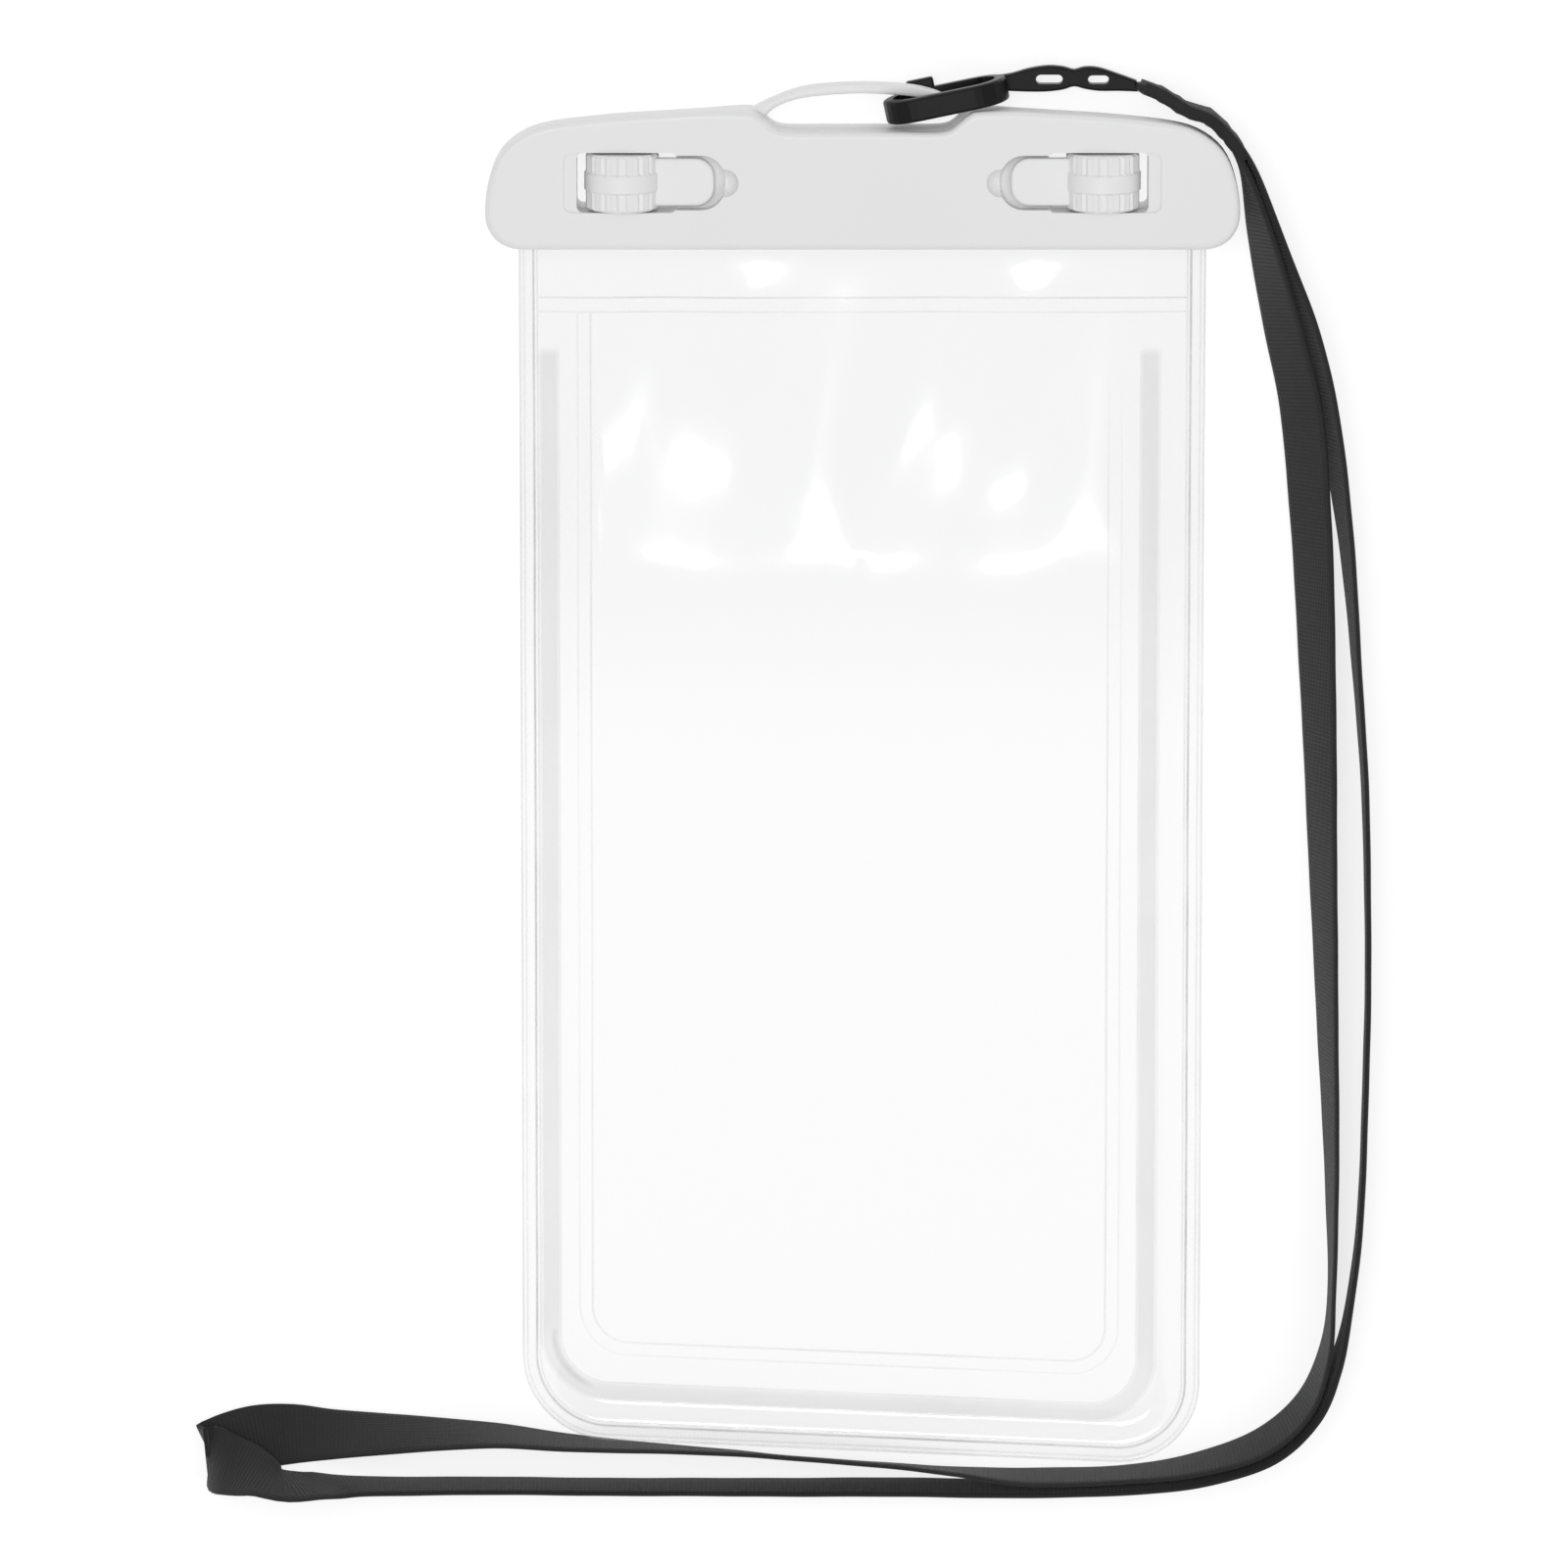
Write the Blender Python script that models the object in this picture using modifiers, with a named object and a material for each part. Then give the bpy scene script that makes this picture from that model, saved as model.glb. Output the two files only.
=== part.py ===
"""Transparent phone pouch with a two-rail clamp closure, two turning locks, and a webbing lanyard on a moulded hook.

The pouch lies on its back. X runs across it, Y runs from the bottom seam to the rail with the arch, Z is up, away
from the surface it lies on. Units are metres.
"""

import math

import bmesh
import bpy
from mathutils import Vector

MM = 0.001

# Rails
RAIL_BACK = 0.0  # underside, on the surface
RAIL_SPLIT = 6.3  # where the two rails meet
RAIL_FRONT = 11.2
RAIL_GAP = 0.15  # each rail stays this far off the split plane
RAIL_ROUND = 1.0  # rounding of the outer edges
RAIL_BOTTOM = 83.1
RAIL_RISE = 0.8  # the front rail stands this much higher than the back rail along its top edge
RAIL_TOP = 101.0  # the straight stretch under the arch
# Right half of the rail's outline, from the middle of the top edge to the middle of the bottom edge
RAIL_HALF = [
    (0.0, 101.0), (6.0, 101.0), (11.0, 101.0), (13.2, 101.4), (14.8, 102.6), (16.2, 103.6), (18.2, 103.9),
    (27.0, 103.2), (35.5, 102.7), (41.3, 102.2), (47.0, 101.5), (50.8, 100.4), (53.9, 98.3), (55.75, 95.6),
    (56.9, 91.8), (57.2, 88.4), (56.7, 86.1), (55.2, 84.2), (52.8, 83.2), (50.0, 83.1), (0.0, 83.1),
]  # fmt: skip

# Arch on the back rail
ARCH_LOW, ARCH_HIGH = 2.4, 6.15  # in Z
ARCH_OUTER = [(0.0, 107.8), (6.3, 107.5), (10.2, 106.8), (14.0, 105.3), (17.0, 103.8)]
ARCH_INNER = [(0.0, 106.35), (6.3, 106.0), (10.2, 105.4), (13.2, 104.2), (14.7, 102.9)]

# Locks
LOCK_X = 36.4  # distance of each lock's axis from the middle
LOCK_Z = 8.2
DRUM_LOW, DRUM_HIGH = 89.15, 97.75  # in Y
DRUM_R, DRUM_BAND_R, RIB_DEPTH, RIBS = 5.55, 5.78, 0.32, 18
AXLE_R, AXLE_HOLE_R, AXLE_OUT = 1.1, 1.45, 1.1
TONGUE_END, TONGUE_W, TONGUE_LOW, TONGUE_HIGH = 22.5, 7.3, 9.1, 10.4
WINDOW_OUT, WINDOW_IN, WINDOW_LOW, WINDOW_HIGH = 43.3, 28.2, 88.85, 98.05
SHALLOW_OUT, SHALLOW_FLOOR = 45.3, 10.85
RECESS_END, RECESS_FLOOR, RECESS_SHY = 20.8, 8.8, 0.4

# Films
FILM = 0.5
HALF_W, BOTTOM, MOUTH = 52.2, -105.9, 86.9
CORNER = 13.0
SKEW = 0.045  # the bottom seam runs a little low towards +X
SEAM = 2.6  # width of the welded rim
RIM_Z, CLAMP_Z = 1.6, 5.55  # underside of the back film's rim, and of the same film between the rails
PUFF = 5.0  # how far the front film stands above the rim

# Hook with its two-slot tail
HOOK_LEFT, HOOK_RIGHT, HOOK_TURN = (3.4, 103.4), (22.0, 107.3), 11.9
HOOK_Z, HOOK_W, HOOK_DEPTH, HOOK_WALL = 5.3, 10.0, 3.6, 1.6
TAIL_Z, TAIL_T = 2.6, 1.8
TAIL_UPPER = [
    (20.0, 108.6), (22.6, 109.0), (25.4, 109.8), (28.3, 110.2), (30.6, 110.0), (32.1, 109.6), (33.7, 110.0),
    (35.8, 109.9), (38.6, 109.0), (41.6, 107.9),
]  # fmt: skip
TAIL_LOWER = [
    (41.8, 106.2), (38.8, 106.3), (36.0, 106.3), (33.8, 106.6), (32.1, 107.0), (30.4, 106.5), (27.8, 106.2),
    (24.6, 106.2), (20.0, 106.4),
]  # fmt: skip
TAIL_SLOTS = [(26.3, 30.4, 107.4, 108.85), (34.2, 37.4, 107.4, 108.75)]

# Lanyard
STRAP_W, STRAP_T = 10.0, 0.8
# Route of the webbing: x, y, height of its lower edge, direction of the loop's outside in degrees, lean in degrees
# (0 flat, 90 on edge, less than 90 with its upper edge outwards) and width.
ROUTE = [
    (42.3, 106.45, 1.0, 70, 86, 4.6), (45.2, 105.35, 0.6, 64, 86, 6.4), (48.8, 103.25, 0.3, 58, 86, 8.6),
    (53.0, 101.55, 0.0, 48, 87, 9.8), (57.75, 95.0, 0.0, 28, 84, 10.0), (60.6, 84.2, 0.0, 18, 68, 10.0),
    (63.8, 70.9, 0.0, 14, 56, 10.0), (66.9, 57.3, 0.0, 8, 51, 10.0), (68.3, 42.1, 0.0, 4, 53, 10.0),
    (69.3, 23.9, 0.0, 2, 57, 10.0), (70.2, -0.5, 0.0, 2, 64, 10.0), (71.0, -25.0, 0.0, 2, 71, 10.0),
    (71.9, -49.6, 0.0, 1, 78, 10.0), (72.4, -68.1, 0.0, 0, 84, 10.0), (72.4, -80.5, 0.0, -4, 88, 10.0),
    (71.5, -90.0, 0.0, -18, 84, 10.0), (68.3, -98.2, 0.0, -38, 78, 10.0), (61.9, -104.0, 0.0, -55, 77, 10.0),
    (52.2, -107.4, 0.0, -73, 83, 10.0), (40.9, -109.1, 0.0, -83, 89, 10.0), (25.9, -109.5, 0.0, -90, 89, 10.0),
    (14.0, -108.6, 0.0, -94, 98, 10.0), (3.2, -107.6, 0.0, -95, 102, 10.0), (-11.9, -106.4, 0.0, -94, 103, 10.0),
    (-20.0, -105.7, 0.0, -93, 101, 10.0), (-32.0, -104.9, 0.0, -92, 97, 10.0), (-44.7, -104.1, 0.0, -92, 90, 10.0),
    (-56.8, -102.9, 0.0, -91, 82, 10.0), (-68.8, -102.7, 0.0, -90, 70, 10.0), (-80.8, -102.9, 0.0, -88, 55, 10.0),
    (-87.2, -103.0, 0.0, -86, 38, 10.0), (-93.0, -103.8, 0.0, -83, 20, 10.0), (-97.0, -105.0, 0.0, -81, 13, 10.0),
    (-99.6, -106.2, 0.0, -80, 9, 10.0), (-100.9, -106.8, 0.8, -83, 10, 10.0), (-99.8, -107.0, 2.5, -84, 17, 10.0),
    (-96.9, -107.4, 3.8, -86, 43, 10.0), (-93.0, -108.0, 5.6, -85, 60, 10.0), (-89.0, -109.3, 6.3, -86, 75, 10.0),
    (-84.0, -110.0, 4.1, -87, 83, 10.0), (-76.4, -110.8, 0.7, -89, 88, 10.0), (-57.3, -110.9, 0.0, -90, 90, 10.0),
    (-27.0, -111.1, 0.0, -90, 90, 10.0), (3.2, -111.1, 0.0, -90, 89, 10.0), (25.9, -111.3, 0.0, -90, 89, 10.0),
    (41.1, -110.8, 0.0, -83, 88, 10.0), (52.7, -109.0, 0.0, -73, 82, 10.0), (62.9, -105.3, 0.0, -55, 76, 10.0),
    (69.4, -99.3, 0.0, -38, 77, 10.0), (73.0, -92.0, 0.0, -22, 84, 10.0), (74.9, -84.0, 0.0, -10, 89, 10.0),
    (76.6, -70.0, 0.0, -4, 90, 10.0), (77.4, -48.0, 0.0, -1, 90, 10.0), (77.6, -25.0, 0.0, 1, 90, 10.0),
    (76.9, -0.5, 0.0, 3, 88, 10.0), (75.3, 20.8, 0.0, 5, 85, 10.0), (73.6, 39.1, 0.0, 8, 79, 10.0),
    (71.0, 55.8, 0.0, 12, 72, 10.0), (67.8, 69.4, 0.0, 16, 70, 10.0), (62.7, 82.6, 0.0, 22, 69, 10.0),
    (58.8, 95.55, 0.0, 28, 84, 10.0), (53.85, 102.4, 0.0, 48, 87, 9.8), (49.45, 104.25, 0.3, 58, 86, 8.6),
    (45.6, 106.45, 0.6, 64, 86, 6.4), (42.65, 107.6, 1.0, 70, 86, 4.6),
]  # fmt: skip
STRAP_STEP = 5.2  # spacing of the strap's sections


def smooth(t):
    t = min(1.0, max(0.0, t))
    return t * t * (3 - 2 * t)


def catmull(rows, steps):
    """Points on a smooth line through the rows, with that many steps between two of them."""
    out = []
    for i in range(len(rows) - 1):
        p0, p1, p2 = rows[max(i - 1, 0)], rows[i], rows[i + 1]
        p3 = rows[min(i + 2, len(rows) - 1)]
        for k in range(steps):
            t = k / steps
            out.append(
                tuple(
                    0.5 * (2 * b + (c - a) * t + (2 * a - 5 * b + 4 * c - d) * t * t + (3 * b - a - 3 * c + d) * t**3)
                    for a, b, c, d in zip(p0, p1, p2, p3)
                )
            )
    out.append(tuple(map(float, rows[-1])))
    return out


def clear_scene():
    for o in list(bpy.data.objects):
        bpy.data.objects.remove(o, do_unlink=True)
    for c in list(bpy.data.collections):
        bpy.data.collections.remove(c)


def collection(name):
    c = bpy.data.collections.new(name)
    bpy.context.scene.collection.children.link(c)
    return c


def material(name, colour, roughness, alpha=1.0, transmission=0.0):
    m = bpy.data.materials.new(name)
    m.use_nodes = True
    b = m.node_tree.nodes["Principled BSDF"]
    b.inputs["Base Color"].default_value = (*colour, 1.0)
    b.inputs["Roughness"].default_value = roughness
    b.inputs["Alpha"].default_value = alpha
    b.inputs["Transmission Weight"].default_value = transmission
    return m


def add(bm, name, where, mat=None):
    """An object in millimetre-sized numbers turned to metres, with its faces pointing out."""
    bmesh.ops.scale(bm, vec=(MM, MM, MM), verts=bm.verts)
    bmesh.ops.recalc_face_normals(bm, faces=bm.faces)
    mesh = bpy.data.meshes.new(name)
    bm.to_mesh(mesh)
    bm.free()
    o = bpy.data.objects.new(name, mesh)
    where.objects.link(o)
    if mat:
        mesh.materials.append(mat)
    mesh.shade_smooth()
    mesh.set_sharp_from_angle(angle=math.radians(32))
    return o


def helper(o):
    o.hide_render = True
    o.display_type = "WIRE"
    return o


def plate(outline, low, high, round_low=0.0, round_high=0.0, segments=4):
    """A flat plate with that outline, with its lower or upper outer edge rounded."""
    bm = bmesh.new()
    face = bm.faces.new([bm.verts.new((x, y, low)) for x, y in outline])
    top = bmesh.ops.extrude_face_region(bm, geom=[face])
    up = [v for v in top["geom"] if isinstance(v, bmesh.types.BMVert)]
    bmesh.ops.translate(bm, vec=(0, 0, high - low), verts=up)
    for z, r in ((low, round_low), (high, round_high)):
        if r:
            edges = [e for e in bm.edges if all(abs(v.co.z - z) < 1e-6 for v in e.verts)]
            bmesh.ops.bevel(bm, geom=edges, offset=r, segments=segments, profile=0.5, affect="EDGES", clamp_overlap=True)
    return bm


def box(low, high):
    bm = bmesh.new()
    bmesh.ops.create_cube(bm, size=1.0)
    for v in bm.verts:
        v.co = Vector(((v.co[i] + 0.5) * (high[i] - low[i]) + low[i]) for i in range(3))
    return bm


def rounded(x0, x1, y0, y1, r, n=5):
    """Outline of a rectangle with rounded corners, counter-clockwise."""
    out = []
    for cx, cy, start in ((x1 - r, y0 + r, -90), (x1 - r, y1 - r, 0), (x0 + r, y1 - r, 90), (x0 + r, y0 + r, 180)):
        for k in range(n + 1):
            a = math.radians(start + 90 * k / n)
            p = (cx + r * math.cos(a), cy + r * math.sin(a))
            if not out or min(math.dist(p, out[0]), math.dist(p, out[-1])) > 1e-4:
                out.append(p)
    return out


def cylinder_y(x, z, r, y0, y1, n):
    """A cylinder along Y."""
    bm = bmesh.new()
    bmesh.ops.create_cone(bm, cap_ends=True, segments=n, radius1=r, radius2=r, depth=y1 - y0)
    for v in bm.verts:
        v.co = Vector((x + v.co.x, (y0 + y1) / 2 + v.co.z, z - v.co.y))
    return bm


def boolean(o, cutter, operation):
    m = o.modifiers.new(operation.title() + "_" + cutter.name, "BOOLEAN")
    m.object = cutter
    m.operation = operation
    m.solver = "EXACT"


def rail_outline(rise=0.0, steps=3):
    """The rail's outline. rise lifts its top edge, least at the arch."""
    half = catmull(RAIL_HALF[:-1], steps)
    up = (RAIL_TOP - RAIL_BOTTOM) / rise if rise else 0.0
    if rise:
        half = [
            (x, y + (y - RAIL_BOTTOM) / up * (0.12 + 0.88 * smooth((abs(x) - 14) / 12)) if y > RAIL_BOTTOM else y)
            for x, y in half
        ]
    return [(x, y) for x, y in half] + [(-x, y) for x, y in reversed(half[1:])]


def make_rails(parts, cutters, mat):
    back = add(plate(rail_outline(), RAIL_BACK, RAIL_SPLIT - RAIL_GAP, round_low=RAIL_ROUND), "back_rail", parts, mat)
    front = add(plate(rail_outline(RAIL_RISE), RAIL_SPLIT + RAIL_GAP, RAIL_FRONT, round_high=RAIL_ROUND), "front_rail", parts, mat)

    outer = catmull([(-x, y) for x, y in reversed(ARCH_OUTER[1:])] + ARCH_OUTER, 3)
    inner = catmull([(-x, y) for x, y in reversed(ARCH_INNER[1:])] + ARCH_INNER, 3)
    feet = [(17.2, 102.2), (15.4, 101.6)]
    band = outer + feet + list(reversed(inner)) + [(-x, y) for x, y in reversed(feet)]
    arch = helper(add(plate(band, ARCH_LOW, ARCH_HIGH, 0.5, 0.5, 2), "arch_band", cutters))
    boolean(back, arch, "UNION")

    pocket = helper(add(box((-53.2, 80.0, RAIL_SPLIT - 1.1), (53.2, 87.3, RAIL_SPLIT + 1.0)), "film_pocket", cutters))
    for side, sign in (("left", -1), ("right", 1)):
        xs = sorted((sign * WINDOW_OUT, sign * WINDOW_IN))
        window = helper(
            add(plate(rounded(xs[0], xs[1], WINDOW_LOW, WINDOW_HIGH, 0.9, 3), -3.0, 14.0), side + "_window", cutters)
        )
        xs = sorted((sign * 33.0, sign * RECESS_END))
        recess = helper(
            add(
                plate(rounded(xs[0], xs[1], WINDOW_LOW + RECESS_SHY, WINDOW_HIGH - RECESS_SHY, 3.6, 6), RECESS_FLOOR, 14.0),
                side + "_recess",
                cutters,
            )
        )
        xs = sorted((sign * SHALLOW_OUT, sign * LOCK_X))
        shallow = helper(
            add(plate(rounded(xs[0], xs[1], WINDOW_LOW, WINDOW_HIGH, 1.2, 4), SHALLOW_FLOOR, 14.0), side + "_shallow", cutters)
        )
        nick = bmesh.new()
        bmesh.ops.create_uvsphere(nick, u_segments=20, v_segments=12, radius=2.3)
        bmesh.ops.translate(nick, vec=(sign * 20.9, 93.4, RAIL_FRONT + 0.8), verts=nick.verts)
        nick = helper(add(nick, side + "_nick", cutters))
        hole = helper(
            add(
                cylinder_y(sign * LOCK_X, LOCK_Z, AXLE_HOLE_R, DRUM_LOW - 1.5, DRUM_HIGH + 1.5, 20),
                side + "_axle_hole",
                cutters,
            )
        )
        for o in (front, back):
            boolean(o, window, "DIFFERENCE")
            boolean(o, hole, "DIFFERENCE")
        boolean(front, recess, "DIFFERENCE")
        boolean(front, nick, "DIFFERENCE")
        boolean(front, shallow, "DIFFERENCE")
    for o in (front, back):
        boolean(o, pocket, "DIFFERENCE")


def ring_y(bm, cx, cz, rows, n, radius):
    """Rings of n points round an axis along Y, joined into a closed turned body. rows are (y, scale of the radius)."""
    rings = []
    for y, kind in rows:
        rings.append(
            [
                bm.verts.new(
                    (
                        cx + radius(kind, k) * math.cos(2 * math.pi * k / n),
                        y,
                        cz + radius(kind, k) * math.sin(2 * math.pi * k / n),
                    )
                )
                for k in range(n)
            ]
        )
    for a, b in zip(rings, rings[1:]):
        for k in range(n):
            bm.faces.new((a[k], a[(k + 1) % n], b[(k + 1) % n], b[k]))
    bm.faces.new(rings[0])
    bm.faces.new(list(reversed(rings[-1])))


def make_lock(side, sign, parts, cutters, mat):
    """A ribbed drum with a smooth middle band, a stub axle at each end and a flat tongue that lies in the rail's recess."""
    n = RIBS * 4

    def radius(kind, k):
        if kind == "axle":
            return AXLE_R
        if kind == "edge":
            return DRUM_R - 0.45
        if kind == "band":
            return DRUM_BAND_R
        return DRUM_R - (RIB_DEPTH if k % 4 == 0 else 0.06 if k % 4 == 2 else 0.0)

    low, high = DRUM_LOW, DRUM_HIGH
    bm = bmesh.new()
    rows = [
        (low - AXLE_OUT, "axle"), (low, "axle"), (low, "edge"), (low + 0.35, "rib"), (low + 2.75, "rib"),
        (low + 3.05, "band"), (high - 3.05, "band"), (high - 2.75, "rib"), (high - 0.35, "rib"), (high, "edge"),
        (high, "axle"), (high + AXLE_OUT, "axle"),
    ]  # fmt: skip
    ring_y(bm, 0.0, 0.0, rows, n, radius)
    drum = add(bm, side + "_lock", parts, mat)
    middle = (low + high) / 2
    reach = LOCK_X - TONGUE_END
    xs = sorted((sign * 0.5, -sign * reach))
    half = TONGUE_W / 2
    outline = rounded(xs[0], xs[1], middle - half, middle + half, 2.8, 6)
    tongue = plate(outline, TONGUE_LOW - LOCK_Z, TONGUE_HIGH - LOCK_Z, 0.2, 0.35, 2)
    tongue = helper(add(tongue, side + "_tongue", cutters))
    boolean(drum, tongue, "UNION")
    axis = bpy.data.objects.new(side + "_lock_axis", None)
    parts.objects.link(axis)
    axis.location = (sign * LOCK_X * MM, 0.0, LOCK_Z * MM)
    drum.parent = axis
    tongue.parent = axis


def bag_depth(x, y):
    """Distance in from the outline's sides and bottom, with the rounded lower corners. The mouth doesn't count."""
    cx, cy = abs(x) - (HALF_W - CORNER), BOTTOM + CORNER - y
    if cx > 0 and cy > 0:
        return CORNER - math.hypot(cx, cy)
    return min(HALF_W - abs(x), y - BOTTOM)


def rim_z(y):
    return RIM_Z + (CLAMP_Z - RIM_Z) * smooth((y - 38) / 46)


def back_z(x, y):
    floor = CLAMP_Z * smooth((y - 45) / 37)
    return rim_z(y) + (floor - rim_z(y)) * smooth((bag_depth(x, y) - SEAM) / 3.0)


def front_z(x, y):
    puff = PUFF * (1 - smooth((y - 30) / 53))
    return rim_z(y) + FILM + 0.35 + puff * smooth((bag_depth(x, y) - SEAM) / 9.0)


def bag_ring(inset):
    """Points of the outline moved inwards by inset, the same number each time."""
    x1, y0, y1 = HALF_W - inset, BOTTOM + inset, MOUTH - inset
    r = max(CORNER - inset, 1.2)
    t = 0.6
    out = []
    for cx, cy, rr, start in ((x1 - r, y0 + r, r, -90), (x1 - t, y1 - t, t, 0), (-x1 + t, y1 - t, t, 90), (-x1 + r, y0 + r, r, 180)):
        for k in range(6):
            a = math.radians(start + 90 * k / 5)
            out.append((cx + rr * math.cos(a), cy + rr * math.sin(a)))
    # straight stretches between the corners
    full = []
    cuts = (9, 5, 9, 5)
    for c in range(4):
        full += out[c * 6 : c * 6 + 6]
        a, b = out[c * 6 + 5], out[((c + 1) % 4) * 6]
        full += [(a[0] + (b[0] - a[0]) * k / cuts[c], a[1] + (b[1] - a[1]) * k / cuts[c]) for k in range(1, cuts[c])]
    return full


def make_film(name, height, parts, mat):
    """A film that follows height(x, y) with its underside, thickened upwards."""
    bm = bmesh.new()
    rings = []
    for inset in (0.0, 1.4, 2.6, 3.6, 4.6, 5.6, 8.0, 12.0, 20.0, 32.0, 45.0):
        ring = []
        for x, y in bag_ring(inset):
            t = smooth((40 - y) / 145)
            ring.append(bm.verts.new((x, y - SKEW * x * t, height(x, y))))
        rings.append(ring)
    n = len(rings[0])
    for a, b in zip(rings, rings[1:]):
        for k in range(n):
            bm.faces.new((a[k], a[(k + 1) % n], b[(k + 1) % n], b[k]))
    bm.faces.new(rings[-1])
    bmesh.ops.triangulate(bm, faces=[f for f in bm.faces if len(f.verts) > 4])
    bmesh.ops.recalc_face_normals(bm, faces=bm.faces)
    if sum(f.normal.z for f in bm.faces) < 0:
        bmesh.ops.reverse_faces(bm, faces=bm.faces)
    bmesh.ops.scale(bm, vec=(MM, MM, MM), verts=bm.verts)
    mesh = bpy.data.meshes.new(name)
    bm.to_mesh(mesh)
    bm.free()
    o = bpy.data.objects.new(name, mesh)
    parts.objects.link(o)
    mesh.materials.append(mat)
    mesh.shade_smooth()
    thick = o.modifiers.new("Thickness", "SOLIDIFY")
    thick.thickness = FILM * MM
    thick.offset = 1.0
    return o


def slot_ring(x, length, height, wall, n=7):
    """Outer and inner outline of a flat ring with round ends, centred on (x, 0)."""
    return (
        rounded(x - length / 2, x + length / 2, -height / 2, height / 2, height / 2, n),
        rounded(x - length / 2 + wall, x + length / 2 - wall, -height / 2 + wall, height / 2 - wall, height / 2 - wall, n),
    )


def make_hook(parts, cutters, mat):
    """The moulded hook: a ring on its edge round the arch, with a thumb lug, and a tail with two slots."""
    length = math.hypot(HOOK_RIGHT[0] - HOOK_LEFT[0], HOOK_RIGHT[1] - HOOK_LEFT[1])
    middle = ((HOOK_LEFT[0] + HOOK_RIGHT[0]) / 2, (HOOK_LEFT[1] + HOOK_RIGHT[1]) / 2)
    turn = math.radians(HOOK_TURN)

    def put(bm, tilt, x0, y0, z0, spin):
        """Stands a flat shape up by tilt about its length, spins it in plan and moves it into place."""
        for v in bm.verts:
            x, h, d = v.co
            y = h * math.cos(tilt) - d * math.sin(tilt)
            z = h * math.sin(tilt) + d * math.cos(tilt)
            v.co = Vector((x0 + x * math.cos(spin) - y * math.sin(spin), y0 + x * math.sin(spin) + y * math.cos(spin), z0 + z))
        return bm

    outer, inner = slot_ring(0, length, HOOK_W, HOOK_WALL)
    ring = put(plate(outer, -HOOK_DEPTH / 2, HOOK_DEPTH / 2, 0.45, 0.45, 2), math.pi / 2, *middle, HOOK_Z, turn)
    hook = add(ring, "snap_hook", parts, mat)
    hole = put(plate(inner, -4, 4), math.pi / 2, *middle, HOOK_Z, turn)
    boolean(hook, helper(add(hole, "hook_hole", cutters)), "DIFFERENCE")

    lug = box((-5.6, 0.9, -5.0), (-1.4, 3.3, -3.5))
    bmesh.ops.bevel(lug, geom=lug.edges[:], offset=0.35, segments=2, profile=0.5, affect="EDGES")
    for v in lug.verts:
        x, y, z = v.co
        v.co = Vector(
            (
                middle[0] + x * math.cos(turn) - y * math.sin(turn),
                middle[1] + x * math.sin(turn) + y * math.cos(turn),
                HOOK_Z + z,
            )
        )
    boolean(hook, helper(add(lug, "hook_lug", cutters)), "UNION")

    # A flat tail with two slots, waisted between them
    upper = catmull(TAIL_UPPER, 3)
    lower = catmull(TAIL_LOWER, 3)
    tail = plate(upper + lower, TAIL_Z - TAIL_T / 2, TAIL_Z + TAIL_T / 2, 0.4, 0.4, 2)
    boolean(hook, helper(add(tail, "tail_body", cutters)), "UNION")
    for i, (x0, x1, y0, y1) in enumerate(TAIL_SLOTS):
        slot = plate(rounded(x0, x1, y0, y1, (y1 - y0) / 2, 4), TAIL_Z - 4, TAIL_Z + 4)
        boolean(hook, helper(add(slot, "tail_slot_%d" % (i + 1), cutters)), "DIFFERENCE")


def strap_sections(step):
    """Centre, direction along, direction across and width of the webbing at even steps along its route."""
    fine = []
    for x, y, low, out, lean, width in catmull(ROUTE, 24):
        low, width = max(low, 0.0), min(width, STRAP_W)
        o, a = math.radians(out), math.radians(lean)
        across = Vector((math.cos(a) * math.cos(o), math.cos(a) * math.sin(o), math.sin(a)))
        fine.append((Vector((x, y, low)), across, width, low))
    total = sum((b[0] - a[0]).length for a, b in zip(fine, fine[1:]))
    count = round(total / step)
    out, gone, want = [], 0.0, 0.0
    for i in range(len(fine) - 1):
        a, b = fine[i], fine[i + 1]
        d = (b[0] - a[0]).length
        while len(out) < count and gone + d >= want - 1e-9:
            t = (want - gone) / d if d else 0
            out.append((a[0].lerp(b[0], t), a[1].lerp(b[1], t), a[2] + (b[2] - a[2]) * t, a[3] + (b[3] - a[3]) * t))
            want += total / count
        gone += d
    out.append(fine[-1])
    rows = []
    for i, (p, across, width, low) in enumerate(out):
        along = out[min(i + 1, len(out) - 1)][0] - out[max(i - 1, 0)][0]
        along = Vector((along.x, along.y, along.z)).normalized()
        across = (across - along * across.dot(along)).normalized()
        normal = along.cross(across)
        # the lower edge lies at its own height
        reach = abs(across.z) * width / 2 + abs(normal.z) * STRAP_T / 2
        rows.append((Vector((p.x, p.y, low + 0.05 + reach)), along, across, width))
    return rows, total


def make_strap(parts, mat):
    """Flat woven tape, one closed loft of rectangles along the route."""
    rows, _ = strap_sections(STRAP_STEP)
    bm = bmesh.new()
    rings = []
    for p, along, across, width in rows:
        normal = along.cross(across)
        w, t = across * width / 2, normal * STRAP_T / 2
        rings.append([bm.verts.new(p + q) for q in (w + t, -w + t, -w - t, w - t)])
    for a, b in zip(rings, rings[1:]):
        for k in range(4):
            bm.faces.new((a[k], a[(k + 1) % 4], b[(k + 1) % 4], b[k]))
    bm.faces.new(rings[0])
    bm.faces.new(list(reversed(rings[-1])))
    bmesh.ops.triangulate(bm, faces=bm.faces)
    return add(bm, "lanyard_strap", parts, mat)


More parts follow.
